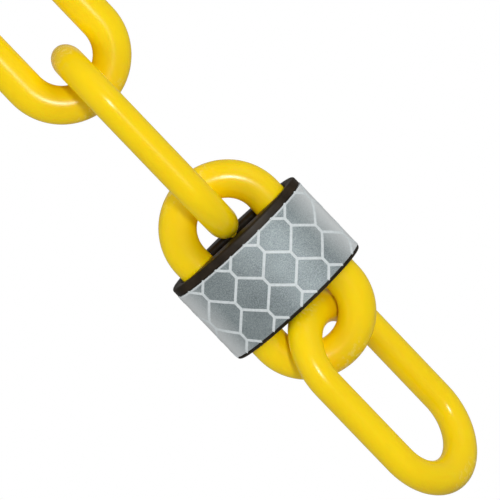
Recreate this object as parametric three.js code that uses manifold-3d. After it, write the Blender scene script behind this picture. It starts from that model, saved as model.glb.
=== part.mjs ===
// A run of moulded plastic barrier chain that hangs from its top link, with a reflective collar
// clamped round one link. Millimetres, +Z up, the origin where a hook carries the top link.
import * as THREE from 'three';
import { ParametricGeometry } from 'three/addons/geometries/ParametricGeometry.js';
import { mergeVertices } from 'three/addons/utils/BufferGeometryUtils.js';
import Module from 'manifold-3d';

const wasm = await Module();
wasm.setup();

// Chain links
const LINK_COUNT = 6;
const LINK_INSIDE_LENGTH = 52;      // the window, crown to crown
const LINK_DEPTH = 9.2;             // the wire, square to its link's plane
const CROWN_THICKNESS = 11.1;       // the wire in its link's plane, round the crowns
const FLAT_WINDOW = 17.4;           // links 1, 3 and 5: the window, leg to leg
const FLAT_LEG = 11.1;              // and a leg's width, as wide as the crown
const SLIM_WINDOW = 21.4;           // links 2, 4 and 6
const SLIM_LEG = 9;                 // nearly round
const LINK_GAP = 0.3;               // between two links where one carries the next
const COLLAR_LINK = 5;              // the link that wears the collar
const COLLAR_LINK_TWIST = -3;       // degrees the collar link has turned round the chain
const END_LINK_TWIST = 47;          // degrees the free end link has turned

// Collar
const COLLAR_END_WALL = 3.7;        // from the slot's end to the collar's outside
const COLLAR_FRONT_WALL = 5.7;      // from the slot's middle, which is the oval's thickest place
const COLLAR_TOP_BAND = 2.5;        // bare black above the sheet
const COLLAR_BOTTOM_BAND = 0.9;     // bare black below the sheet
const COLLAR_EDGE_RADIUS = 0.8;
const COLLAR_TO_LINK = 0.4;         // clearance between the collar's slot and the legs
const COLLAR_REST_GAP = 0.3;        // to the crown that the collar rests on
const COLLAR_PLAY = 0.5;            // how far the collar can slide up its link
const MOUTH_CHAMFER = 1.2;          // round both mouths of the slot
const SHELL_GAP = 0.3;              // between the two half shells
const PEG_DIAMETER = 1.3;
const PEG_LENGTH = 1.8;
const PEG_CLEARANCE = 0.25;
const PEG_SPACING = 15;             // between the two pegs on one edge, along the chain

// Reflective sheet
const SHEET_THICKNESS = 0.6;
const SHEET_PROUD = 0.1;            // how far it stands out of the collar's bands
const SHEET_TO_SHELL = 0.3;         // the adhesive's thickness, and the play at both edges
const SHEET_SEAM_WIDTH = 0.5;
const SHEET_SEAM_ANGLE = 60;        // degrees round the back from the collar's right end

// Mesh fineness
const CROWN_STEPS = 16;
const LEG_STEPS = 2;
const WIRE_SIDES = 12;
const OVAL_SIDES = 56;
const EDGE_STEPS = 3;
const ARC_SIDES = 10;
const PEG_SIDES = 12;
const SEARCH_STEP = 0.01;
const CUT_MARGIN = 1;               // how far a cutting solid reaches past what it cuts
const PEG_ROOT = 0.5;               // how far a peg is sunk in its shell
const DIP_STEPS = 120;

// Worked out from the sizes above
const PITCH = LINK_INSIDE_LENGTH - LINK_GAP;
const LINK_HALF_LENGTH = LINK_INSIDE_LENGTH / 2 + CROWN_THICKNESS;
const slimShape = { window: SLIM_WINDOW, leg: SLIM_LEG };
const flatShape = { window: FLAT_WINDOW, leg: FLAT_LEG };
const linkShape = (number) => (number % 2 === 0 ? slimShape : flatShape);
const linkCentre = (number) => -LINK_INSIDE_LENGTH / 2 - (number - 1) * PITCH;
const SLOT_HALF_WIDTH = FLAT_WINDOW / 2 + FLAT_LEG + COLLAR_TO_LINK;
const SLOT_HALF_DEPTH = LINK_DEPTH / 2 + COLLAR_TO_LINK;
const COLLAR_WIDTH = 2 * (SLOT_HALF_WIDTH + COLLAR_END_WALL);
const COLLAR_DEPTH = 2 * (SLOT_HALF_DEPTH + COLLAR_FRONT_WALL);
const RECESS_DEPTH = SHEET_THICKNESS + SHEET_TO_SHELL - SHEET_PROUD;

const yellowPlastic = new THREE.MeshStandardMaterial({ color: 0xf4cf12, roughness: 0.28, metalness: 0 });
const blackPlastic = new THREE.MeshStandardMaterial({ color: 0x17140f, roughness: 0.42, metalness: 0 });
const reflectiveSheet = new THREE.MeshStandardMaterial({ color: 0x929a9c, roughness: 0.4, metalness: 0.1 });

// Merges a geometry's shared vertices, which leaves one closed skin.
function closed(geometry) {
  geometry.deleteAttribute('normal');
  geometry.deleteAttribute('uv');
  return mergeVertices(geometry, 1e-5);
}

function toSolid(geometry) {
  const skin = closed(geometry);
  return new wasm.Manifold(new wasm.Mesh({
    numProp: 3,
    vertProperties: new Float32Array(skin.attributes.position.array),
    triVerts: new Uint32Array(skin.index.array),
  }));
}

function toGeometry(solid) {
  const mesh = solid.getMesh();
  const geometry = new THREE.BufferGeometry();
  geometry.setAttribute('position', new THREE.BufferAttribute(mesh.vertProperties, 3));
  geometry.setIndex(new THREE.BufferAttribute(mesh.triVerts, 1));
  geometry.computeVertexNormals();
  return geometry;
}

// A closed ring: at(i, j) gives the point at step i of `steps` round the ring and side j of its section.
function closedRing(steps, sides, at) {
  const skin = new ParametricGeometry((u, v, target) => {
    at(Math.round(u * steps) % steps, Math.round(v * sides) % sides, target);
  }, steps, sides);
  return closed(skin);
}

// The wire's middle at an angle round a crown, and half its width there as a vector, in a link that is
// centred on the origin with its length along Z and its width along X. A crown's inner edge is a half
// circle and its outer edge a half ellipse, so the wire's width runs from the leg's to the crown's. The
// bottom crown has end = -1.
function crownStation({ window, leg }, angle, end) {
  const [c, s] = [end * Math.cos(angle), end * Math.sin(angle)];
  const centre = end * (LINK_INSIDE_LENGTH - window) / 2;
  return { x: c * (window + leg) / 2, z: s * (window + CROWN_THICKNESS) / 2 + centre,
    wideX: c * leg / 2, wideZ: s * CROWN_THICKNESS / 2 };
}

// The point on the wire's skin at an angle round its section, with the wire made thicker by `skin`.
function wirePoint(station, around, skin, target) {
  const grown = 1 + skin / Math.hypot(station.wideX, station.wideZ);
  return target.set(station.x + station.wideX * grown * Math.cos(around),
    -(LINK_DEPTH / 2 + skin) * Math.sin(around),
    station.z + station.wideZ * grown * Math.cos(around));
}

function linkGeometry(shape, skin) {
  const stations = [];
  for (const end of [1, -1]) {
    for (let i = 0; i < CROWN_STEPS; i++) stations.push(crownStation(shape, Math.PI * i / CROWN_STEPS, end));
    const legTop = crownStation(shape, Math.PI, end);
    for (let i = 0; i < LEG_STEPS; i++) stations.push({ ...legTop, z: legTop.z * (1 - 2 * i / LEG_STEPS) });
  }
  return closedRing(stations.length, WIRE_SIDES, (i, j, target) => {
    wirePoint(stations[i], 2 * Math.PI * j / WIRE_SIDES, skin, target);
  });
}

// How far the end link, turned less than square from the collar link that carries it, rides above its
// place in a square chain, because the two crowns then meet on their shoulders.
function crownRise(turn) {
  const carrier = toSolid(linkGeometry(flatShape, LINK_GAP / 2));
  const carried = toSolid(linkGeometry(slimShape, LINK_GAP / 2).rotateZ(turn));
  let [low, high] = [0, CROWN_THICKNESS];
  while (high - low > SEARCH_STEP) {
    const middle = (low + high) / 2;
    const meeting = carrier.intersect(carried.translate([0, 0, middle - PITCH]));
    if (meeting.volume() > SEARCH_STEP) low = middle;
    else high = middle;
  }
  return high;
}

// How far a slim crown, turned from the collar link, dips into the mouth of the collar's slot and
// still keeps its gap to the mouth's edges.
function crownDip(turn) {
  const point = new THREE.Vector3();
  const mouthHalfDepth = SLOT_HALF_DEPTH + MOUTH_CHAMFER;
  let dip = Infinity;
  for (let i = 0; i <= DIP_STEPS; i++) {
    for (let j = 0; j < DIP_STEPS; j++) {
      const station = crownStation(slimShape, Math.PI * i / DIP_STEPS, 1);
      wirePoint(station, 2 * Math.PI * j / DIP_STEPS, 0, point);
      const across = point.x * Math.sin(turn) + point.y * Math.cos(turn);
      if (Math.abs(across) >= mouthHalfDepth) dip = Math.min(dip, LINK_HALF_LENGTH - point.z);
    }
  }
  return dip - COLLAR_REST_GAP;
}

// A solid lofted through ovals, each given as its offset from the collar's outside and its height.
function ovalSolid(rings) {
  const last = rings.length + 1;
  return toSolid(new ParametricGeometry((u, v, target) => {
    const step = Math.round(v * last);
    const angle = 2 * Math.PI * (Math.round(u * OVAL_SIDES) % OVAL_SIDES) / OVAL_SIDES;
    if (step === 0 || step === last) {
      target.set(0, 0, rings[step === 0 ? 0 : rings.length - 1].z);
      return;
    }
    const { offset, z } = rings[step - 1];
    const [halfWidth, halfDepth] = [COLLAR_WIDTH / 2 + offset, COLLAR_DEPTH / 2 + offset];
    target.set(halfWidth * Math.cos(angle), halfDepth * Math.sin(angle), z);
  }, OVAL_SIDES, last));
}

function boxSolid(width, depth, height, x, y, z) {
  return toSolid(new THREE.BoxGeometry(width, depth, height).translate(x, y, z));
}

// The slot that the link's two legs pass through, with a chamfer round each mouth.
function slotSolid(bottom, top) {
  const straight = SLOT_HALF_WIDTH - SLOT_HALF_DEPTH;
  const outline = new THREE.Shape();
  outline.absarc(straight, 0, SLOT_HALF_DEPTH, -Math.PI / 2, Math.PI / 2, false);
  outline.absarc(-straight, 0, SLOT_HALF_DEPTH, Math.PI / 2, 3 * Math.PI / 2, false);
  outline.closePath();
  const height = top - bottom;
  let slot = toSolid(new THREE.ExtrudeGeometry(outline, {
    depth: height + 2 * CUT_MARGIN, bevelEnabled: false, curveSegments: ARC_SIDES,
  }).translate(0, 0, bottom - CUT_MARGIN));
  for (const mouth of [bottom, top]) {
    const flare = new THREE.ExtrudeGeometry(outline, {
      depth: CUT_MARGIN, bevelThickness: MOUTH_CHAMFER, bevelSize: MOUTH_CHAMFER, bevelSegments: 1,
      curveSegments: ARC_SIDES });
    slot = slot.add(toSolid(flare.translate(0, 0, mouth === top ? top : bottom - CUT_MARGIN)));
  }
  return slot;
}

// The end link settles in the collar link's crown, and the collar fills the room that is left between
// the crowns above and below it, apart from its play, however the end link is turned.
const endLinkTurn = THREE.MathUtils.degToRad(END_LINK_TWIST - COLLAR_LINK_TWIST);
const upperLinkTurn = THREE.MathUtils.degToRad(90 - COLLAR_LINK_TWIST);
const endLinkCentre = linkCentre(LINK_COUNT) + crownRise(endLinkTurn);
const endLinkDip = Math.min(crownDip(endLinkTurn), crownDip(Math.PI / 2));
const collarBottom = endLinkCentre + LINK_HALF_LENGTH - endLinkDip;
const upperLinkDip = crownDip(upperLinkTurn);
const collarTop = linkCentre(COLLAR_LINK - 1) - LINK_HALF_LENGTH + upperLinkDip - COLLAR_PLAY;
const COLLAR_HEIGHT = collarTop - collarBottom;
const SHEET_HEIGHT = COLLAR_HEIGHT - COLLAR_BOTTOM_BAND - COLLAR_TOP_BAND - 2 * SHEET_TO_SHELL;

// The collar before it is split, standing on z = 0: an oval with rounded edges, a shallow recess for
// the sheet and the slot through it.
function collarSolid() {
  const rings = [];
  for (let i = 0; i <= EDGE_STEPS; i++) {
    const angle = Math.PI / 2 * i / EDGE_STEPS;
    rings.push({ offset: COLLAR_EDGE_RADIUS * (Math.sin(angle) - 1),
      z: COLLAR_EDGE_RADIUS * (1 - Math.cos(angle)) });
  }
  const recessBottom = COLLAR_BOTTOM_BAND;
  const recessTop = COLLAR_HEIGHT - COLLAR_TOP_BAND;
  rings.push({ offset: 0, z: recessBottom }, { offset: -RECESS_DEPTH, z: recessBottom });
  rings.push({ offset: -RECESS_DEPTH, z: recessTop }, { offset: 0, z: recessTop });
  for (let i = EDGE_STEPS; i >= 0; i--) {
    const angle = Math.PI / 2 * i / EDGE_STEPS;
    rings.push({ offset: COLLAR_EDGE_RADIUS * (Math.sin(angle) - 1),
      z: COLLAR_HEIGHT - COLLAR_EDGE_RADIUS * (1 - Math.cos(angle)) });
  }
  return ovalSolid(rings).subtract(slotSolid(0, COLLAR_HEIGHT));
}

// One half of the collar: side -1 is the front, which carries the pegs, and +1 the rear.
function shellGeometry(side) {
  const reach = COLLAR_WIDTH;
  const keepOut = boxSolid(2 * reach, reach, 3 * COLLAR_HEIGHT,
    0, side * (SHELL_GAP / 2 - reach / 2), COLLAR_HEIGHT / 2);
  let shell = collarSolid().subtract(keepOut);
  const wallMiddle = (SLOT_HALF_WIDTH + COLLAR_WIDTH / 2 - RECESS_DEPTH) / 2;
  const clearance = side > 0 ? PEG_CLEARANCE : 0;
  for (const end of [1, -1]) {
    for (const step of [0.5, -0.5]) {
      const reachIn = PEG_LENGTH + clearance;
      const root = SHELL_GAP / 2 + PEG_ROOT;
      const peg = new THREE.CylinderGeometry(PEG_DIAMETER / 2 + clearance, PEG_DIAMETER / 2 + clearance,
        reachIn + root, PEG_SIDES);
      peg.translate(end * wallMiddle, (reachIn - root) / 2, COLLAR_HEIGHT / 2 + step * PEG_SPACING);
      shell = side > 0 ? shell.subtract(toSolid(peg)) : shell.add(toSolid(peg));
    }
  }
  return toGeometry(shell);
}

// The retroreflective sheet: one strip wrapped round the collar's recess, its ends meeting at the back.
function sheetGeometry() {
  const bottom = COLLAR_BOTTOM_BAND + SHEET_TO_SHELL;
  const top = bottom + SHEET_HEIGHT;
  const outside = ovalSolid([{ offset: SHEET_PROUD, z: bottom }, { offset: SHEET_PROUD, z: top }]);
  const innerOffset = SHEET_PROUD - SHEET_THICKNESS;
  const inside = ovalSolid([
    { offset: innerOffset, z: bottom - CUT_MARGIN }, { offset: innerOffset, z: top + CUT_MARGIN }]);
  const seamAngle = THREE.MathUtils.degToRad(SHEET_SEAM_ANGLE);
  const seam = boxSolid(SHEET_SEAM_WIDTH, COLLAR_DEPTH, 2 * SHEET_HEIGHT,
    Math.cos(seamAngle) * COLLAR_WIDTH / 2, COLLAR_DEPTH / 2, (bottom + top) / 2);
  return toGeometry(outside.subtract(inside).subtract(seam));
}

const part = new THREE.Group();

function addPiece(name, geometry, material, z, twist) {
  const piece = new THREE.Mesh(geometry, material);
  piece.name = name;
  piece.position.z = z;
  piece.rotation.z = THREE.MathUtils.degToRad(twist);
  part.add(piece);
}

// Links alternate between the XZ and the YZ plane, and each hangs in the crown of the one above.
for (let number = 1; number <= LINK_COUNT; number++) {
  let twist = number % 2 === 0 ? 90 : 0;
  if (number === COLLAR_LINK) twist = COLLAR_LINK_TWIST;
  if (number === LINK_COUNT) twist = END_LINK_TWIST;
  const height = number === LINK_COUNT ? endLinkCentre : linkCentre(number);
  addPiece(`link_${number}`, linkGeometry(linkShape(number), 0), yellowPlastic, height, twist);
}

addPiece('collar_front_shell', shellGeometry(-1), blackPlastic, collarBottom, COLLAR_LINK_TWIST);
addPiece('collar_rear_shell', shellGeometry(1), blackPlastic, collarBottom, COLLAR_LINK_TWIST);
addPiece('reflective_sheet', sheetGeometry(), reflectiveSheet, collarBottom, COLLAR_LINK_TWIST);

export default part;
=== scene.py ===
"""Looks for a run of moulded plastic barrier chain with a reflective collar.

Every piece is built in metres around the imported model, and rides on its bodies.
"""

import math

import bmesh
import bpy
from bpy.props import FloatProperty, FloatVectorProperty, IntProperty, PointerProperty
from bpy.types import Operator, Panel, PropertyGroup
from mathutils import Matrix, Vector


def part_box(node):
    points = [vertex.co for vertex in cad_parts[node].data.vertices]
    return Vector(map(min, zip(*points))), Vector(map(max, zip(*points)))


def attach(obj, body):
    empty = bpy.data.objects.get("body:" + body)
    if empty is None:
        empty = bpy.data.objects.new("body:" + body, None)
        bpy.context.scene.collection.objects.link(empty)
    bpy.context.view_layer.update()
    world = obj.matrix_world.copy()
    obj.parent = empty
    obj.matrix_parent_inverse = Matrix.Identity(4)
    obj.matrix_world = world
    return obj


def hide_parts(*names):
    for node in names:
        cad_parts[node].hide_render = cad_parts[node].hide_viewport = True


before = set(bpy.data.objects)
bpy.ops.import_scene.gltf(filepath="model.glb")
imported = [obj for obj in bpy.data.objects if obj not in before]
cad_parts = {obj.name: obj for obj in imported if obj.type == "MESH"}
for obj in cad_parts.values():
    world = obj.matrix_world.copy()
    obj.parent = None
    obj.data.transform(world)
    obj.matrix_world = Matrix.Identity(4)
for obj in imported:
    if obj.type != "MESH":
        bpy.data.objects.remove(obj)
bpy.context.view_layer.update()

bl_info = {
    "name": "Reflective Barrier Chain",
    "version": (1, 0, 0),
    "blender": (4, 5, 0),
    "location": "3D View > Sidebar > Chain",
    "description": "Builds moulded chain links, a split collar, its honeycomb sheet and a studio stage",
    "category": "Object",
}

MM = 0.001

# The body that each link rides on, and how far it has turned round the chain, in degrees.
LINKS = {
    "link_1": ("top_link", 0),
    "link_2": ("second_link", 90),
    "link_3": ("third_link", 0),
    "link_4": ("fourth_link", 90),
    "link_5": ("collar_link", -3),
    "link_6": ("end_link", 47),
}
SLIM_LINKS = ("link_2", "link_4", "link_6")
# The links that keep their mould's stub. It is trimmed off the others.
GATED_LINKS = ("link_2", "link_4")
COLLAR_TURN = math.radians(LINKS["link_5"][1])

# Half the width of a link in its own plane, half its depth and half its length. The odd links are
# flat and the even ones are slim and stand in the other plane.
FLAT_SIZE = (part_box("link_1")[1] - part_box("link_1")[0]) / 2
SLIM_SIZE = (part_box("link_2")[1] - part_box("link_2")[0]).yxz / 2

# Mesh fineness
LINK_STATIONS = 192
LINK_SIDES = 48
CROWN_SHARE = 0.75
COLLAR_STEPS = 120
ROUND_STEPS = 6
PEG_SIDES = 24
OVAL_POINTS = 512
STRIP_STEPS = 240
STRIP_ROWS = 24
GATE_RINGS = 10
UPRIGHT_POINTS = 9
SLANT_POINTS = 25
BACKDROP_SUBDIVISIONS = 3
WELD = 0.002 * MM
COLLAR_WELD = 0.001 * MM
LINE_WELD = 0.01 * MM
TRIM_SLACK = 0.3 * MM               # how far past the sheet a line's point may lie and be pulled back
COLLAR_CREASE = math.radians(32)
SHEET_CREASE = math.radians(40)
KEY_PLACE = (0.25, -1.3, -0.09)
LEFT_PLACE = (-1.2, -0.7, 0.3)
RIGHT_PLACE = (1.2, -0.7, 0.3)
BACK_PLACE = (0.3, 1.4, 0.1)
FRONT_SHARE = 0.75                  # the front middle's place round the oval, from its right end


# ---------------------------------------------------------------- nodes


class Value:
    """A node's output in plain arithmetic, where each operator adds its Math node."""

    def __init__(self, net, socket):
        self.net = net
        self.socket = socket

    def __add__(self, other):
        return self.net.math("ADD", self, other)

    def __radd__(self, other):
        return self.net.math("ADD", other, self)

    def __sub__(self, other):
        return self.net.math("SUBTRACT", self, other)

    def __rsub__(self, other):
        return self.net.math("SUBTRACT", other, self)

    def __mul__(self, other):
        return self.net.math("MULTIPLY", self, other)

    def __rmul__(self, other):
        return self.net.math("MULTIPLY", other, self)

    def __truediv__(self, other):
        return self.net.math("DIVIDE", self, other)

    def __rtruediv__(self, other):
        return self.net.math("DIVIDE", other, self)

    def __mod__(self, other):
        return self.net.math("FLOORED_MODULO", self, other)


class Net:
    """Adds nodes to one node tree."""

    def __init__(self, tree):
        self.tree = tree

    def add(self, kind, settings=None, inputs=None):
        """Makes a node, sets its settings, feeds its inputs and returns its outputs by name."""
        node = self.tree.nodes.new(kind)
        for name, value in (settings or {}).items():
            if name == "stops":
                self.set_stops(node.color_ramp.elements, value)
            else:
                setattr(node, name, value)
        for key, value in (inputs or {}).items():
            if isinstance(key, int):
                socket = node.inputs[key]
            else:
                socket = next(s for s in node.inputs if s.enabled and s.name == key)
            if isinstance(value, list):
                for one in value:
                    self.tree.links.new(one.socket, socket)
            elif isinstance(value, Value):
                self.tree.links.new(value.socket, socket)
            else:
                socket.default_value = value
        return {s.name: Value(self, s) for s in node.outputs if s.enabled}

    @staticmethod
    def set_stops(elements, stops):
        while len(elements) < len(stops):
            elements.new(1)
        for element, (place, level) in zip(elements, stops):
            element.position = place
            element.color = (level, level, level, 1)

    def math(self, operation, *values):
        return self.add("ShaderNodeMath", {"operation": operation}, dict(enumerate(values)))["Value"]

    def vector(self, operation, *values):
        made = self.add("ShaderNodeVectorMath", {"operation": operation}, dict(enumerate(values)))
        return made["Vector"]

    def scaled(self, vector, size):
        made = self.add("ShaderNodeVectorMath", {"operation": "SCALE"}, {"Vector": vector, "Scale": size})
        return made["Vector"]

    def combine(self, x, y, z):
        return self.add("ShaderNodeCombineXYZ", None, {"X": x, "Y": y, "Z": z})["Vector"]

    def split(self, vector):
        made = self.add("ShaderNodeSeparateXYZ", None, {"Vector": vector})
        return made["X"], made["Y"], made["Z"]


def geometry_tree(name, inputs):
    """A Geometry Nodes tree with these named inputs. Returns its net and the inputs as values."""
    tree = bpy.data.node_groups.new(name, "GeometryNodeTree")
    tree.interface.new_socket("Geometry", in_out="OUTPUT", socket_type="NodeSocketGeometry")
    for label, kind in inputs.items():
        tree.interface.new_socket(label, in_out="INPUT", socket_type=kind)
    net = Net(tree)
    return net, net.add("NodeGroupInput")


def end_tree(net, geometry, material):
    """Ends a tree in Realize Instances, smooth shading and Set Material."""
    real = net.add("GeometryNodeRealizeInstances", None, {"Geometry": geometry})["Geometry"]
    smooth = net.add("GeometryNodeSetShadeSmooth", None, {"Geometry": real})["Geometry"]
    painted = net.add("GeometryNodeSetMaterial", None, {"Geometry": smooth, "Material": material})
    net.add("NodeGroupOutput", None, {"Geometry": painted["Geometry"]})
    return net.tree


def put_in_scene(name, mesh):
    piece = bpy.data.objects.new(name, mesh)
    bpy.context.scene.collection.objects.link(piece)
    return piece


def make_plain(piece):
    """Replaces a piece's mesh by what its modifiers make of it, and removes them."""
    depsgraph = bpy.context.evaluated_depsgraph_get()
    made = bpy.data.meshes.new_from_object(
        piece.evaluated_get(depsgraph), preserve_all_data_layers=True, depsgraph=depsgraph
    )
    piece.modifiers.clear()
    piece.data = made
    if not made.polygons:
        raise RuntimeError(f"{piece.name} came out empty")
    return piece


def grow(name, tree, values, wall=None):
    """A plain mesh made by a Geometry Nodes tree from these input values."""
    piece = put_in_scene(name, bpy.data.meshes.new(name))
    modifier = piece.modifiers.new("Build", "NODES")
    modifier.node_group = tree
    for item in tree.interface.items_tree:
        if item.in_out == "INPUT":
            modifier[item.identifier] = values[item.name]
    if wall:
        solidify = piece.modifiers.new("Wall", "SOLIDIFY")
        solidify.thickness = wall
        solidify.offset = -1
    return make_plain(piece)


# ---------------------------------------------------------------- materials


def surface(name):
    """A material with an empty tree. Returns it, its net and its Object coordinates."""
    material = bpy.data.materials.new(name)
    material.use_nodes = True
    material.node_tree.nodes.clear()
    net = Net(material.node_tree)
    return material, net, net.add("ShaderNodeTexCoord")["Object"]


def finish_surface(net, inputs):
    shader = net.add("ShaderNodeBsdfPrincipled", None, inputs)
    net.add("ShaderNodeOutputMaterial", None, {"Surface": shader["BSDF"]})


def cloud(net, place, scale, detail=2.0, roughness=0.5):
    """Soft noise from 0 to 1, with a scale in features per metre."""
    return net.add(
        "ShaderNodeTexNoise",
        None,
        {"Vector": place, "Scale": scale, "Detail": detail, "Roughness": roughness},
    )["Fac"]


def mix(net, factor, first, second):
    """Two colours mixed by a factor. A colour is a value or four numbers."""
    made = net.add(
        "ShaderNodeMix", {"data_type": "RGBA"}, {"Factor": factor, "A": first, "B": second}
    )
    return made["Result"]


def ramp(net, factor, *stops):
    """A grey level from 0 to 1 that follows these (place, level) stops."""
    made = net.add("ShaderNodeValToRGB", {"stops": stops}, {"Fac": factor})
    return made["Color"]


def bump(net, height, depth):
    """A normal bent by a height from 0 to 1, where 1 stands `depth` metres proud."""
    return net.add("ShaderNodeBump", None, {"Strength": 1.0, "Distance": depth, "Height": height})["Normal"]


def attribute(net, name):
    return net.add("ShaderNodeAttribute", {"attribute_name": name})["Fac"]


def rgba(colour):
    return (*colour, 1.0)


def chain_plastic(settings):
    """Glossy dyed plastic: faint flow mottling, a fine moulded skin and pale rubs on the crowns."""
    material, net, place = surface("yellow_chain_plastic")
    flow = ramp(net, cloud(net, place, 55, 3), (0.3, 0), (0.7, 1))
    grain = cloud(net, place, 1400, 2)
    rub = attribute(net, "rub") * ramp(net, cloud(net, place, 520, 4, 0.65), (0.5, 0), (0.68, 1))
    colour = mix(net, flow * 0.35, rgba(settings.plastic_colour), rgba(settings.shade_colour))
    colour = mix(net, rub * 0.55, colour, rgba(settings.rub_colour))
    finish_surface(net, {
        "Base Color": colour,
        "Roughness": 0.2 + flow * 0.06 + rub * 0.25,
        "Normal": bump(net, grain + rub * 0.6, settings.skin_depth),
        "IOR": 1.5,
        "Specular IOR Level": 0.35,
        "Subsurface Weight": 0.3,
        "Subsurface Radius": (1.0, 0.6, 0.1),
        "Subsurface Scale": 2 * MM,
    })
    return material


def collar_plastic(settings):
    """Black plastic with a satin tool-mark skin, dusty at the larger scale."""
    material, net, place = surface("black_collar_plastic")
    dust = ramp(net, cloud(net, place, 240, 5, 0.6), (0.35, 0), (0.75, 1))
    marks = cloud(net, net.vector("MULTIPLY", place, (1.0, 1.0, 6.0)), 900, 3)
    finish_surface(net, {
        "Base Color": mix(net, dust, rgba(settings.collar_colour), rgba(settings.dust_colour)),
        "Roughness": 0.36 + dust * 0.16,
        "Normal": bump(net, marks, settings.mark_depth),
        "IOR": 1.5,
        "Specular IOR Level": 0.22,
    })
    return material


def sheet_foil(settings):
    """Retroreflective film: a speckle of beads on silver, with a painted sheen that makes it paler and less
    metallic round the collar's curved ends, where the lights catch it.
    """
    material, net, place = surface("retroreflective_film")
    across, up, _ = net.split(net.add("ShaderNodeUVMap", {"uv_map": "UVMap"})["UV"])
    beads = ramp(net, cloud(net, place, 3600, 2, 0.7), (0.34, 0), (0.68, 1))
    shade = ramp(net, cloud(net, place, 90, 2), (0.3, 0), (0.7, 1))
    silver = mix(net, beads * 0.75 + shade * 0.25, rgba(settings.film_dark), rgba(settings.film_light))
    edge = ramp(net, up, (0.972, 0), (0.988, 1))
    # The collar's two ends lie half the way round from each other, the first a third past the seam.
    # Painted sheen: this mask is 1 round the collar's curved ends, where the lights make the film look
    # paler.
    from_end = net.math("PINGPONG", (across - 1 / 3) * 2, 0.5)
    end = ramp(net, from_end, (0.05, 1), (0.2, 0))
    # Painted sheen: the film is mixed towards a pale colour round the ends, standing in for the light that
    # catches them there.
    silver = mix(net, end * 0.8, silver, rgba(settings.painted_end_sheen_colour))
    colour = mix(net, edge * 0.8, silver, rgba(settings.rib_colour))
    finish_surface(net, {
        "Base Color": colour,
        # The painted sheen's mask also takes the metal look away round the ends.
        "Metallic": 0.45 * (1 - edge) * (1 - end),
        "Roughness": 0.42 - beads * 0.08,
        "Normal": bump(net, beads, settings.bead_depth),
    })
    return material


def rib_film(settings):
    """The pale lines where the film is sealed down, faintly uneven."""
    material, net, place = surface("sealed_film_lines")
    uneven = ramp(net, cloud(net, place, 1500, 3), (0.3, 0), (0.75, 1))
    finish_surface(net, {
        "Base Color": mix(net, uneven * 0.5, rgba(settings.rib_colour), rgba(settings.film_light)),
        "Roughness": 0.38 + uneven * 0.1,
        "Normal": bump(net, uneven, settings.bead_depth),
    })
    return material


# ---------------------------------------------------------------- settings


class ChainLinkSettings(PropertyGroup):
    """Sizes and colours of the moulded links."""

    crown_thickness: FloatProperty(
        name="Crown Thickness", description="The wire's thickness at both ends of a link",
        default=11.1 * MM, unit="LENGTH", precision=4)
    flat_leg: FloatProperty(
        name="Flat Leg", description="Width of a leg on the flat links", default=11.1 * MM, unit="LENGTH",
        precision=4)
    slim_leg: FloatProperty(
        name="Slim Leg", description="Width of a leg on the slim links", default=9 * MM, unit="LENGTH",
        precision=4)
    gate_radius: FloatProperty(
        name="Gate Radius", description="Half the width of the stub that the mould leaves",
        default=1.1 * MM, unit="LENGTH", precision=4)
    gate_height: FloatProperty(
        name="Gate Height", description="How far the mould's stub stands out of the lower crown",
        default=0.7 * MM, unit="LENGTH", precision=4)
    skin_depth: FloatProperty(
        name="Skin Depth", description="Height of the fine moulded skin",
        default=0.012 * MM, unit="LENGTH", precision=6)
    plastic_colour: FloatVectorProperty(
        name="Plastic Colour", description="The dyed plastic where light falls on it", subtype="COLOR",
        default=(0.95, 0.67, 0.002), min=0, max=1)
    shade_colour: FloatVectorProperty(
        name="Mottle Colour", description="The deeper colour of the flow marks", subtype="COLOR",
        default=(0.91, 0.60, 0.003), min=0, max=1)
    rub_colour: FloatVectorProperty(
        name="Rub Colour", description="The pale marks where links rub", subtype="COLOR",
        default=(0.95, 0.82, 0.4), min=0, max=1)


class CollarSettings(PropertyGroup):
    """Sizes and colours of the split collar."""

    top_band: FloatProperty(
        name="Top Band", description="Bare black above the sheet",
        default=2.5 * MM, unit="LENGTH", precision=4)
    bottom_band: FloatProperty(
        name="Bottom Band", description="Bare black below the sheet",
        default=0.9 * MM, unit="LENGTH", precision=4)
    edge_radius: FloatProperty(
        name="Edge Radius", description="Rounding of the outside edges", default=0.8 * MM, unit="LENGTH",
        precision=4)
    slot_clearance: FloatProperty(
        name="Slot Clearance", description="From the link's legs to the slot",
        default=0.4 * MM, unit="LENGTH",
        precision=4)
    mouth_chamfer: FloatProperty(
        name="Mouth Chamfer", description="Round both mouths of the slot", default=1.2 * MM, unit="LENGTH",
        precision=4)
    recess_depth: FloatProperty(
        name="Recess Depth", description="How deep the sheet's recess is", default=0.8 * MM, unit="LENGTH",
        precision=4)
    shell_gap: FloatProperty(
        name="Shell Gap", description="Between the two half shells",
        default=0.3 * MM, unit="LENGTH", precision=4)
    peg_diameter: FloatProperty(
        name="Peg Diameter", description="Pegs on the front shell",
        default=1.3 * MM, unit="LENGTH", precision=4)
    peg_length: FloatProperty(
        name="Peg Length", description="How far a peg reaches past the middle", default=1.8 * MM,
        unit="LENGTH", precision=4)
    peg_clearance: FloatProperty(
        name="Peg Clearance", description="Round each peg in its socket", default=0.25 * MM, unit="LENGTH",
        precision=4)
    peg_spacing: FloatProperty(
        name="Peg Spacing", description="Between the two pegs on one edge", default=15 * MM, unit="LENGTH",
        precision=4)
    mark_depth: FloatProperty(
        name="Mark Depth", description="Height of the tool marks",
        default=0.02 * MM, unit="LENGTH", precision=6)
    collar_colour: FloatVectorProperty(
        name="Collar Colour", description="The black plastic", subtype="COLOR",
        default=(0.012, 0.008, 0.004), min=0, max=1)
    dust_colour: FloatVectorProperty(
        name="Dust Colour", description="Dust and handling on the plastic", subtype="COLOR",
        default=(0.030, 0.020, 0.011), min=0, max=1)


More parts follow.
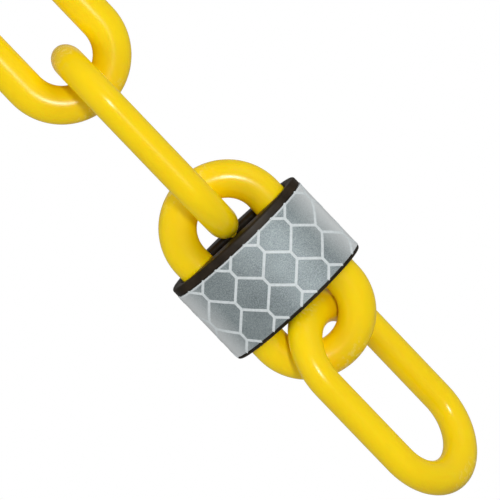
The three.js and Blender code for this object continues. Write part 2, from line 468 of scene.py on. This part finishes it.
class SheetSettings(PropertyGroup):
    """Sizes and colours of the reflective sheet and its honeycomb."""

    thickness: FloatProperty(
        name="Thickness", description="The sheet's thickness", default=0.6 * MM, unit="LENGTH", precision=4)
    seam_width: FloatProperty(
        name="Seam Width", description="Between the sheet's two ends", default=0.5 * MM, unit="LENGTH",
        precision=4)
    seam_angle: FloatProperty(
        name="Seam Angle", description="Where the ends meet, round the back from the right end",
        default=math.radians(60), subtype="ANGLE")
    cell_pitch: FloatProperty(
        name="Cell Pitch", description="From one cell to the next round the collar", default=10.9 * MM,
        unit="LENGTH", precision=4)
    row_step: FloatProperty(
        name="Row Step", description="From one row of cells to the next", default=7.95 * MM, unit="LENGTH",
        precision=4)
    short_side: FloatProperty(
        name="Short Side", description="The cell sides that run along the chain", default=2.7 * MM,
        unit="LENGTH", precision=4)
    rib_width: FloatProperty(
        name="Rib Width", description="Width of the sealed lines",
        default=0.8 * MM, unit="LENGTH", precision=4)
    rib_height: FloatProperty(
        name="Rib Height", description="How far the sealed lines stand proud", default=0.07 * MM,
        unit="LENGTH", precision=5)
    shift_across: FloatProperty(
        name="Shift Across", description="Where the middle row starts, from the collar's front middle",
        default=-2.0 * MM, unit="LENGTH", precision=4)
    shift_up: FloatProperty(
        name="Shift Up", description="The middle row's height over the sheet's middle", default=0.05 * MM,
        unit="LENGTH", precision=4)
    columns: IntProperty(name="Columns", description="Cells drawn round the collar", default=13, min=1)
    rows: IntProperty(name="Rows", description="Rows of cells drawn", default=7, min=1)
    bead_depth: FloatProperty(
        name="Bead Depth", description="Height of the bead speckle",
        default=0.02 * MM, unit="LENGTH", precision=6)
    film_light: FloatVectorProperty(
        name="Film Light", description="The brighter beads", subtype="COLOR",
        default=(0.41, 0.47, 0.48), min=0, max=1)
    film_dark: FloatVectorProperty(
        name="Film Dark", description="The darker beads", subtype="COLOR",
        default=(0.14, 0.17, 0.18), min=0, max=1)
    # Painted sheen: the pale colour painted on the film round the collar's curved ends, where the lights
    # catch it.
    painted_end_sheen_colour: FloatVectorProperty(
        name="Painted End Sheen", description="The film where it turns round the collar's ends", subtype="COLOR",
        default=(0.66, 0.68, 0.68), min=0, max=1)
    rib_colour: FloatVectorProperty(
        name="Line Colour", description="The sealed lines and the sheet's edge", subtype="COLOR",
        default=(0.66, 0.70, 0.71), min=0, max=1)


class StageSettings(PropertyGroup):
    """Camera and light."""

    camera_distance: FloatProperty(
        name="Camera Distance", description="From the camera to the middle of the view", default=1.0,
        unit="LENGTH")
    camera_elevation: FloatProperty(
        name="Camera Elevation", description="How far the camera looks down", default=math.radians(10.9),
        subtype="ANGLE")
    camera_roll: FloatProperty(
        name="Camera Roll", description="Tips the chain's top to the left of the picture",
        default=math.radians(43.75), subtype="ANGLE")
    lens: FloatProperty(
        name="Lens", description="Focal length in millimetres on a 36 mm sensor", default=250.1)
    view_height: FloatProperty(
        name="View Height", description="Height of the middle of the view", default=-0.2249, unit="LENGTH")
    view_across: FloatProperty(
        name="View Across", description="Place of the middle of the view across the chain", default=0.0003,
        unit="LENGTH", precision=4)
    key_power: FloatProperty(
        name="Key Power", description="Light beside the camera, in watts", default=7.5)
    key_size: FloatProperty(
        name="Key Size", description="Width of that light", default=0.2, unit="LENGTH")
    fill_power: FloatProperty(
        name="Fill Power", description="Each light at the sides, in watts", default=8.0)
    fill_size: FloatProperty(
        name="Fill Size", description="Width of those lights", default=1.0, unit="LENGTH")
    sky_strength: FloatProperty(name="Sky Strength", description="Brightness of the room", default=0.3)
    back_power: FloatProperty(
        name="Back Power", description="Light behind the chain, in watts", default=7.0)
    backdrop_glow: FloatProperty(
        name="Backdrop Glow", description="Brightness of the white backdrop", default=1.0)
    backdrop_radius: FloatProperty(
        name="Backdrop Radius", description="From the chain to the white backdrop",
        default=12.0, unit="LENGTH")


# ---------------------------------------------------------------- links


def link_tree():
    """One link as a closed ring: a round wire along two legs that thickens round two crowns."""
    net, given = geometry_tree("Moulded Link", {
        "Inside Length": "NodeSocketFloat",
        "Inside Width": "NodeSocketFloat",
        "Leg Width": "NodeSocketFloat",
        "Depth": "NodeSocketFloat",
        "Crown Thickness": "NodeSocketFloat",
        "Gated": "NodeSocketBool",
        "Gate Radius": "NodeSocketFloat",
        "Gate Height": "NodeSocketFloat",
        "Turn": "NodeSocketFloat",
        "Height": "NodeSocketFloat",
        "Material": "NodeSocketMaterial",
    })
    length, width, leg, crown = (
        given[name] for name in ("Inside Length", "Inside Width", "Leg Width", "Crown Thickness")
    )
    grid = net.add("GeometryNodeMeshGrid", None, {
        "Size X": 1.0, "Size Y": 1.0, "Vertices X": LINK_STATIONS + 1, "Vertices Y": LINK_SIDES + 1,
    })["Mesh"]
    x, y, _ = net.split(net.add("GeometryNodeInputPosition")["Position"])
    # Along the ring: each half is a crown from right to left, and then a leg.
    along = (x + 0.5) * 2
    half = net.math("MINIMUM", net.math("FLOOR", along), 1)
    step = along - half
    end = 1 - 2 * half
    angle = net.math("MINIMUM", step / CROWN_SHARE, 1) * math.pi
    down = net.math("MAXIMUM", step - CROWN_SHARE, 0) / (1 - CROWN_SHARE)
    across_part = net.math("COSINE", angle) * end
    up_part = net.math("SINE", angle) * end
    around = (y + 0.5) * math.tau
    reach = net.math("COSINE", around)
    place = net.combine(
        across_part * ((width + leg) / 2 + leg / 2 * reach),
        net.math("SINE", around) * given["Depth"] / -2,
        up_part * ((width + crown) / 2 + crown / 2 * reach) + end * (length - width) / 2 * (1 - 2 * down),
    )
    tip = net.math("MULTIPLY", net.math("SINE", angle), net.math("SINE", angle))
    rub = net.math("POWER", tip, 6) * net.math("MAXIMUM", reach, 0)
    worn = net.add("GeometryNodeStoreNamedAttribute", {"data_type": "FLOAT", "domain": "POINT"}, {
        "Geometry": grid, "Name": "rub", "Value": rub,
    })["Geometry"]
    ring = net.add("GeometryNodeSetPosition", None, {"Geometry": worn, "Position": place})["Geometry"]
    ring = net.add("GeometryNodeMergeByDistance", None, {"Geometry": ring, "Distance": WELD})["Geometry"]
    stub = net.add("GeometryNodeMeshUVSphere", None, {
        "Segments": 2 * GATE_RINGS, "Rings": GATE_RINGS, "Radius": given["Gate Radius"],
    })["Mesh"]
    stub = net.add("GeometryNodeTransform", None, {
        "Geometry": stub,
        "Translation": net.combine(0.0, 0.0, (length / 2 + crown) * -1),
        "Scale": net.combine(1.0, 1.0, given["Gate Height"] / given["Gate Radius"]),
    })["Geometry"]
    stub = net.add("GeometryNodeSwitch", {"input_type": "GEOMETRY"}, {
        "Switch": given["Gated"], "True": stub})["Output"]
    whole = net.add("GeometryNodeJoinGeometry", None, {"Geometry": [ring, stub]})["Geometry"]
    placed = net.add("GeometryNodeTransform", None, {
        "Geometry": whole,
        "Translation": net.combine(0.0, 0.0, given["Height"]),
        "Rotation": net.combine(0.0, 0.0, given["Turn"]),
    })["Geometry"]
    return end_tree(net, placed, given["Material"])


class BARRIERCHAIN_OT_links(Operator):
    """Builds every moulded link in place of its plain one"""

    bl_idname = "barrier_chain.links"
    bl_label = "Build Links"

    def execute(self, context):
        settings = context.scene.chain_links
        tree = link_tree()
        material = chain_plastic(settings)
        for node, (body, turn) in LINKS.items():
            low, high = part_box(node)
            slim = node in SLIM_LINKS
            size = SLIM_SIZE if slim else FLAT_SIZE
            leg = settings.slim_leg if slim else settings.flat_leg
            link = grow(f"{node}_moulding", tree, {
                "Inside Length": 2 * (size.z - settings.crown_thickness),
                "Inside Width": 2 * (size.x - leg),
                "Leg Width": leg,
                "Depth": 2 * size.y,
                "Crown Thickness": settings.crown_thickness,
                "Gated": node in GATED_LINKS,
                "Gate Radius": settings.gate_radius,
                "Gate Height": settings.gate_height,
                "Turn": math.radians(turn),
                "Height": (low.z + high.z) / 2,
                "Material": material,
            })
            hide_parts(node)
            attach(link, body)
        return {"FINISHED"}


# ---------------------------------------------------------------- collar


def oval_half(*nodes):
    """Half the width and half the depth of an oval piece before the collar's turn, from its box."""
    corners = [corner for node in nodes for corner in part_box(node)]
    wide = max(abs(corner.x) for corner in corners)
    deep = max(abs(corner.y) for corner in corners)
    c, s = math.cos(COLLAR_TURN) ** 2, math.sin(COLLAR_TURN) ** 2
    scale = c * c - s * s
    return math.sqrt((wide**2 * c - deep**2 * s) / scale), math.sqrt((deep**2 * c - wide**2 * s) / scale)


def slot_point(share, grown, settings, side):
    """A point of the slot's half outline, from its right end at share 0 to its left end at 1."""
    half_depth = FLAT_SIZE.y + settings.slot_clearance + grown
    half_width = FLAT_SIZE.x + settings.slot_clearance + grown
    straight = half_width - half_depth
    gap = settings.shell_gap / 2
    first = math.acos((straight + math.sqrt(half_depth**2 - gap**2)) / half_width)
    x = half_width * math.cos(first + (math.pi - 2 * first) * share)
    past = max(abs(x) - straight, 0)
    return x, side * math.sqrt(half_depth**2 - past**2)


def oval_point(share, offset, half, settings, side):
    """A point of the collar's half outline, from its right end at share 0 to its left end at 1."""
    first = math.asin(settings.shell_gap / 2 / (half[1] + offset))
    angle = first + (math.pi - 2 * first) * share
    return (half[0] + offset) * math.cos(angle), side * (half[1] + offset) * math.sin(angle)


def collar_profile(settings, height):
    """The wall's section as stops round it: (True on the slot or False on the oval, offset, height)."""
    chamfer, radius = settings.mouth_chamfer, settings.edge_radius
    rising = [math.pi / 2 * i / ROUND_STEPS for i in range(ROUND_STEPS + 1)]
    falling = rising[::-1]
    stops = [(True, chamfer * (1 - math.sin(a)), chamfer * (1 - math.cos(a))) for a in rising]
    stops += [(True, chamfer * (1 - math.sin(a)), height - chamfer * (1 - math.cos(a))) for a in falling]
    stops += [(False, radius * (math.sin(a) - 1), height - radius * (1 - math.cos(a))) for a in rising]
    recess_top, recess_bottom = height - settings.top_band, settings.bottom_band
    stops += [(False, 0, recess_top), (False, -settings.recess_depth, recess_top)]
    stops += [(False, -settings.recess_depth, recess_bottom), (False, 0, recess_bottom)]
    stops += [(False, radius * (math.sin(a) - 1), radius * (1 - math.cos(a))) for a in falling]
    return stops


def shell_mesh(name, side, half, height, settings):
    """One half of the collar, standing on height 0: its section swept from right to left."""
    stops = collar_profile(settings, height)
    shell = bmesh.new()
    rows = []
    for i in range(COLLAR_STEPS + 1):
        share = i / COLLAR_STEPS
        row = []
        for on_slot, offset, z in stops:
            point = slot_point(share, offset, settings, side) if on_slot else oval_point(
                share, offset, half, settings, side)
            row.append(shell.verts.new((*point, z)))
        rows.append(row)
    for first, second in zip(rows, rows[1:]):
        for j in range(len(stops)):
            k = (j + 1) % len(stops)
            shell.faces.new((first[j], first[k], second[k], second[j]))
    shell.faces.new(rows[0])
    shell.faces.new(rows[-1])
    bmesh.ops.remove_doubles(shell, verts=shell.verts, dist=COLLAR_WELD)
    bmesh.ops.recalc_face_normals(shell, faces=shell.faces)
    mesh = bpy.data.meshes.new(name)
    shell.to_mesh(mesh)
    shell.free()
    return mesh


def peg_tool(name, side, half, height, settings):
    """The four pegs of the front shell, or the rear shell's sockets, as one mesh of cylinders."""
    clearance = settings.peg_clearance if side > 0 else 0
    radius = settings.peg_diameter / 2 + clearance
    reach = settings.peg_length + clearance
    root = -2 * settings.shell_gap
    wall = (FLAT_SIZE.x + settings.slot_clearance + half[0] - settings.recess_depth) / 2
    pegs = bmesh.new()
    for end in (1, -1):
        for step in (0.5, -0.5):
            middle = Vector((end * wall, (reach + root) / 2, height / 2 + step * settings.peg_spacing))
            bmesh.ops.create_cone(
                pegs, cap_ends=True, segments=PEG_SIDES, radius1=radius, radius2=radius, depth=reach - root,
                matrix=Matrix.Translation(middle) @ Matrix.Rotation(math.pi / 2, 4, "X"))
    mesh = bpy.data.meshes.new(name)
    pegs.to_mesh(mesh)
    pegs.free()
    return mesh


class BARRIERCHAIN_OT_collar(Operator):
    """Builds the collar's two half shells, with pegs on the front one and sockets in the rear one"""

    bl_idname = "barrier_chain.collar"
    bl_label = "Build Collar"

    def execute(self, context):
        settings = context.scene.chain_collar
        half = oval_half("collar_front_shell", "collar_rear_shell")
        low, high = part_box("collar_rear_shell")
        height = high.z - low.z
        material = collar_plastic(settings)
        for node, side in (("collar_front_shell", -1), ("collar_rear_shell", 1)):
            shell = put_in_scene(f"{node}_moulding", shell_mesh(node, side, half, height, settings))
            tool = put_in_scene("peg_tool", peg_tool("peg_tool", side, half, height, settings))
            boolean = shell.modifiers.new("Pegs", "BOOLEAN")
            boolean.object = tool
            boolean.operation = "DIFFERENCE" if side > 0 else "UNION"
            boolean.solver = "EXACT"
            make_plain(shell)
            bpy.data.objects.remove(tool)
            shell.data.transform(Matrix.Translation((0, 0, low.z)) @ Matrix.Rotation(COLLAR_TURN, 4, "Z"))
            shell.data.materials.clear()
            shell.data.materials.append(material)
            shell.data.shade_smooth()
            shell.data.set_sharp_from_angle(angle=COLLAR_CREASE)
            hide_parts(node)
            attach(shell, "collar")
        return {"FINISHED"}


# ---------------------------------------------------------------- sheet


WRAP_INPUTS = {
    "Half Width": "NodeSocketFloat",
    "Half Depth": "NodeSocketFloat",
    "Turn": "NodeSocketFloat",
    "Bottom": "NodeSocketFloat",
    "Top": "NodeSocketFloat",
    "Seam Angle": "NodeSocketFloat",
    "Seam Width": "NodeSocketFloat",
}


def oval_path(net, given):
    """The oval that the sheet follows, and the length round it."""
    circle = net.add("GeometryNodeCurvePrimitiveCircle", {"mode": "RADIUS"}, {
        "Resolution": OVAL_POINTS, "Radius": 1.0})["Curve"]
    oval = net.add("GeometryNodeTransform", None, {
        "Geometry": circle,
        "Scale": net.combine(given["Half Width"], given["Half Depth"], 1.0),
    })["Geometry"]
    return oval, net.add("GeometryNodeCurveLength", None, {"Curve": oval})["Length"]


def wrap(net, given, path, geometry, across, up, out):
    """Bends flat geometry round the oval: `across` runs round it from its right end, `up` is the
    height and `out` the distance outside it."""
    oval, around = path
    spot = net.add("GeometryNodeSampleCurve", {"mode": "LENGTH", "use_all_curves": True}, {
        "Curves": oval, "Length": across % around})
    outward = net.vector("CROSS_PRODUCT", spot["Tangent"], (0.0, 0.0, 1.0))
    outward = net.vector("NORMALIZE", outward)
    flat = net.vector("ADD", spot["Position"], net.scaled(outward, out))
    place = net.vector("ADD", flat, net.combine(0.0, 0.0, up))
    bent = net.add("GeometryNodeSetPosition", None, {"Geometry": geometry, "Position": place})["Geometry"]
    return net.add("GeometryNodeTransform", None, {
        "Geometry": bent, "Rotation": net.combine(0.0, 0.0, given["Turn"])})["Geometry"]


def seam_place(net, given, around):
    """How far round the oval the seam lies, from the oval's right end."""
    return given["Seam Angle"] / math.tau * around


def strip_tree():
    """The sheet's outer face: a strip wrapped once round the oval, open at its seam."""
    net, given = geometry_tree("Wrapped Strip", {**WRAP_INPUTS, "Material": "NodeSocketMaterial"})
    grid = net.add("GeometryNodeMeshGrid", None, {
        "Size X": 1.0, "Size Y": 1.0, "Vertices X": STRIP_STEPS + 1, "Vertices Y": STRIP_ROWS + 1})["Mesh"]
    x, y, _ = net.split(net.add("GeometryNodeInputPosition")["Position"])
    marked = net.add("GeometryNodeStoreNamedAttribute", {"data_type": "FLOAT2", "domain": "CORNER"}, {
        "Geometry": grid, "Name": "UVMap", "Value": net.combine(x + 0.5, y + 0.5, 0.0)})["Geometry"]
    path = oval_path(net, given)
    around = path[1]
    first = seam_place(net, given, around) + given["Seam Width"] / 2
    across = first + (x + 0.5) * (around - given["Seam Width"])
    up = given["Bottom"] + (y + 0.5) * (given["Top"] - given["Bottom"])
    bent = wrap(net, given, path, marked, across, up, 0.0)
    return end_tree(net, bent, given["Material"])


def honeycomb_tree():
    """The sealed lines: a honeycomb of short upright and long slanting ribs, bent round the oval."""
    net, given = geometry_tree("Honeycomb Lines", {
        **WRAP_INPUTS,
        "Cell Pitch": "NodeSocketFloat",
        "Row Step": "NodeSocketFloat",
        "Short Side": "NodeSocketFloat",
        "Rib Width": "NodeSocketFloat",
        "Rib Height": "NodeSocketFloat",
        "Shift Across": "NodeSocketFloat",
        "Shift Up": "NodeSocketFloat",
        "Columns": "NodeSocketInt",
        "Rows": "NodeSocketInt",
        "Material": "NodeSocketMaterial",
    })
    pitch, row_step, short = given["Cell Pitch"], given["Row Step"], given["Short Side"]

    def line(count, start, end):
        return net.add("GeometryNodeMeshLine", {"mode": "END_POINTS"}, {
            "Count": count, "Start Location": start, "Offset": end})["Mesh"]

    upright = line(UPRIGHT_POINTS, net.combine(0.0, short / -2, 0.0), net.combine(0.0, short / 2, 0.0))
    top = net.combine(0.0, short / 2, 0.0)
    slants = [
        line(SLANT_POINTS, top, net.combine(pitch / side, row_step - short / 2, 0.0)) for side in (2, -2)
    ]
    unit = net.add("GeometryNodeJoinGeometry", None, {"Geometry": [upright, *slants]})["Geometry"]
    columns, rows = given["Columns"], given["Rows"]
    spots = net.add("GeometryNodeMeshGrid", None, {
        "Size X": pitch * (columns - 1), "Size Y": row_step * (rows - 1),
        "Vertices X": columns, "Vertices Y": rows})["Mesh"]
    spot_place = net.add("GeometryNodeInputPosition")["Position"]
    _, spot_y, _ = net.split(spot_place)
    row = net.math("ROUND", spot_y / row_step + (rows - 1) / 2)
    odd = (row + (rows - 1) / 2) % 2
    stagger = net.combine(odd * pitch / 2, 0.0, 0.0)
    spots = net.add("GeometryNodeSetPosition", None, {"Geometry": spots, "Offset": stagger})["Geometry"]
    cells = net.add("GeometryNodeInstanceOnPoints", None, {"Points": spots, "Instance": unit})["Instances"]
    cells = net.add("GeometryNodeRealizeInstances", None, {"Geometry": cells})["Geometry"]
    shift = net.combine(given["Shift Across"], given["Shift Up"], 0.0)
    cells = net.add("GeometryNodeTransform", None, {"Geometry": cells, "Translation": shift})["Geometry"]
    net_lines = net.add("GeometryNodeMergeByDistance", None, {
        "Geometry": cells, "Distance": LINE_WELD})["Geometry"]
    path = oval_path(net, given)
    around = path[1]
    # Trim to the sheet: x is measured from the front middle, three quarters of the way round.
    x, y, _ = net.split(net.add("GeometryNodeInputPosition")["Position"])
    margin = given["Rib Width"] / 2
    half_height = (given["Top"] - given["Bottom"]) / 2 - margin / 4
    seam = seam_place(net, given, around) - around * FRONT_SHARE
    low_x = seam + given["Seam Width"] / 2 + margin
    high_x = seam + around - given["Seam Width"] / 2 - margin
    past = net.math("MAXIMUM", net.math("ABSOLUTE", y) - half_height, 0)
    past = past + net.math("MAXIMUM", low_x - x, 0) + net.math("MAXIMUM", x - high_x, 0)
    outside = net.math("GREATER_THAN", past, TRIM_SLACK)
    net_lines = net.add("GeometryNodeDeleteGeometry", {"domain": "POINT", "mode": "ALL"}, {
        "Geometry": net_lines, "Selection": outside})["Geometry"]
    clamped = net.combine(
        net.math("MAXIMUM", net.math("MINIMUM", x, high_x), low_x),
        net.math("MAXIMUM", net.math("MINIMUM", y, half_height), half_height * -1),
        0.0)
    net_lines = net.add("GeometryNodeSetPosition", None, {
        "Geometry": net_lines, "Position": clamped})["Geometry"]
    curves = net.add("GeometryNodeMeshToCurve", None, {"Mesh": net_lines})["Curve"]
    profile = net.add("GeometryNodeCurvePrimitiveQuadrilateral", {"mode": "RECTANGLE"}, {
        "Width": given["Rib Width"], "Height": given["Rib Height"] * 2})["Curve"]
    ribs = net.add("GeometryNodeCurveToMesh", None, {
        "Curve": curves, "Profile Curve": profile, "Fill Caps": True})["Mesh"]
    rib_x, rib_y, rib_z = net.split(net.add("GeometryNodeInputPosition")["Position"])
    middle = (given["Top"] + given["Bottom"]) / 2
    bent = wrap(net, given, path, ribs, rib_x + around * FRONT_SHARE, rib_y + middle, rib_z)
    return end_tree(net, bent, given["Material"])


def sheet_values(settings, material):
    """What both of the sheet's trees are given: the oval, its turn and the sheet's height."""
    half = oval_half("reflective_sheet")
    low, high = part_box("reflective_sheet")
    return {
        "Half Width": half[0],
        "Half Depth": half[1],
        "Turn": COLLAR_TURN,
        "Bottom": low.z,
        "Top": high.z,
        "Seam Angle": settings.seam_angle,
        "Seam Width": settings.seam_width,
        "Material": material,
    }


class BARRIERCHAIN_OT_sheet(Operator):
    """Builds the reflective strip that is wrapped round the collar"""

    bl_idname = "barrier_chain.sheet"
    bl_label = "Build Sheet"

    def execute(self, context):
        settings = context.scene.chain_sheet
        values = sheet_values(settings, sheet_foil(settings))
        sheet = grow("reflective_sheet_strip", strip_tree(), values, wall=settings.thickness)
        sheet.data.set_sharp_from_angle(angle=SHEET_CREASE)
        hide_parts("reflective_sheet")
        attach(sheet, "collar")
        return {"FINISHED"}


class BARRIERCHAIN_OT_honeycomb(Operator):
    """Builds the honeycomb of sealed lines on the reflective sheet"""

    bl_idname = "barrier_chain.honeycomb"
    bl_label = "Build Honeycomb"

    def execute(self, context):
        settings = context.scene.chain_sheet
        values = sheet_values(settings, rib_film(settings))
        values.update({
            "Cell Pitch": settings.cell_pitch,
            "Row Step": settings.row_step,
            "Short Side": settings.short_side,
            "Rib Width": settings.rib_width,
            "Rib Height": settings.rib_height,
            "Shift Across": settings.shift_across,
            "Shift Up": settings.shift_up,
            "Columns": settings.columns,
            "Rows": settings.rows,
        })
        ribs = grow("reflective_sheet_honeycomb", honeycomb_tree(), values)
        ribs.data.set_sharp_from_angle(angle=SHEET_CREASE)
        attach(ribs, "collar")
        return {"FINISHED"}


# ---------------------------------------------------------------- stage


def aim(thing, place, target):
    """Puts a light at a place and turns it to a target."""
    thing.location = place
    thing.rotation_euler = (Vector(target) - Vector(place)).to_track_quat("-Z", "Y").to_euler()


def soft_light(name, place, target, power, size):
    light = bpy.data.lights.new(name, "AREA")
    light.shape = "DISK"
    light.size = size
    light.energy = power
    lamp = put_in_scene(name, light)
    aim(lamp, place, target)
    return lamp


def add_camera(settings):
    """A long lens, rolled so that the hanging chain runs from upper left to lower right."""
    data = bpy.data.cameras.new("camera")
    data.lens = settings.lens
    data.sensor_width = 36
    data.clip_start, data.clip_end = 0.05, 50
    camera = put_in_scene("camera", data)
    down, roll = settings.camera_elevation, settings.camera_roll
    across = Vector((1, 0, 0))
    forward = Vector((0, math.cos(down), -math.sin(down)))
    upright = Vector((0, math.sin(down), math.cos(down)))
    right = across * math.cos(roll) - upright * math.sin(roll)
    up = across * math.sin(roll) + upright * math.cos(roll)
    target = Vector((settings.view_across, 0, settings.view_height))
    place = Matrix((right, up, -forward)).transposed().to_4x4()
    place.translation = target - forward * settings.camera_distance
    camera.matrix_world = place
    bpy.context.scene.camera = camera


def add_backdrop(settings):
    """A white globe round everything, which shows behind the chain and neither lights nor shades it."""
    mesh = bpy.data.meshes.new("studio_backdrop")
    globe = bmesh.new()
    bmesh.ops.create_icosphere(globe, subdivisions=BACKDROP_SUBDIVISIONS, radius=settings.backdrop_radius)
    globe.to_mesh(mesh)
    globe.free()
    material, net, _ = surface("studio_white")
    finish_surface(net, {
        "Base Color": (0.0, 0.0, 0.0, 1.0),
        "Specular IOR Level": 0.0,
        "Emission Color": (1.0, 1.0, 1.0, 1.0),
        "Emission Strength": settings.backdrop_glow,
    })
    mesh.materials.append(material)
    backdrop = put_in_scene("studio_backdrop", mesh)
    backdrop.visible_diffuse = False
    backdrop.visible_glossy = False
    backdrop.visible_shadow = False


def add_sky(settings):
    world = bpy.data.worlds.new("studio_room")
    world.use_nodes = True
    world.node_tree.nodes.clear()
    net = Net(world.node_tree)
    room = net.add("ShaderNodeBackground", None, {
        "Color": (1.0, 1.0, 1.0, 1.0), "Strength": settings.sky_strength})
    net.add("ShaderNodeOutputWorld", None, {"Surface": room["Background"]})
    bpy.context.scene.world = world


class BARRIERCHAIN_OT_stage(Operator):
    """Sets up the backdrop, the room's light and the camera"""

    bl_idname = "barrier_chain.stage"
    bl_label = "Set Up Stage"

    def execute(self, context):
        settings = context.scene.chain_stage
        context.scene.view_settings.view_transform = "Standard"
        middle = (settings.view_across, 0, settings.view_height)
        add_backdrop(settings)
        add_sky(settings)
        soft_light("key_light", KEY_PLACE, middle, settings.key_power, settings.key_size)
        for name, place in (("left_light", LEFT_PLACE), ("right_light", RIGHT_PLACE)):
            fill = soft_light(name, place, middle, settings.fill_power, settings.fill_size)
            fill.visible_glossy = False
        back = soft_light("back_light", BACK_PLACE, middle, settings.back_power, settings.fill_size)
        back.visible_glossy = False
        add_camera(settings)
        return {"FINISHED"}


# ---------------------------------------------------------------- add-on


class BARRIERCHAIN_PT_panel(Panel):
    """Lists the chain's settings and the operators that build it"""

    bl_idname = "BARRIERCHAIN_PT_panel"
    bl_label = "Barrier Chain"
    bl_space_type = "VIEW_3D"
    bl_region_type = "UI"
    bl_category = "Chain"

    def draw(self, context):
        for group, operators in BUILD_ORDER:
            box = self.layout.box()
            settings = getattr(context.scene, group)
            for name in settings.__annotations__:
                box.prop(settings, name)
            for operator in operators:
                box.operator(operator.bl_idname)


SETTINGS = {
    "chain_links": ChainLinkSettings,
    "chain_collar": CollarSettings,
    "chain_sheet": SheetSettings,
    "chain_stage": StageSettings,
}
BUILD_ORDER = (
    ("chain_links", (BARRIERCHAIN_OT_links,)),
    ("chain_collar", (BARRIERCHAIN_OT_collar,)),
    ("chain_sheet", (BARRIERCHAIN_OT_sheet, BARRIERCHAIN_OT_honeycomb)),
    ("chain_stage", (BARRIERCHAIN_OT_stage,)),
)
CLASSES = (
    *SETTINGS.values(),
    *(operator for _, operators in BUILD_ORDER for operator in operators),
    BARRIERCHAIN_PT_panel,
)


def register():
    for cls in CLASSES:
        bpy.utils.register_class(cls)
    for name, cls in SETTINGS.items():
        setattr(bpy.types.Scene, name, PointerProperty(type=cls))


def unregister():
    for name in SETTINGS:
        delattr(bpy.types.Scene, name)
    for cls in reversed(CLASSES):
        bpy.utils.unregister_class(cls)


def main():
    register()
    bpy.ops.barrier_chain.links()
    bpy.ops.barrier_chain.collar()
    bpy.ops.barrier_chain.sheet()
    bpy.ops.barrier_chain.honeycomb()
    bpy.ops.barrier_chain.stage()


if __name__ == "__main__":
    main()
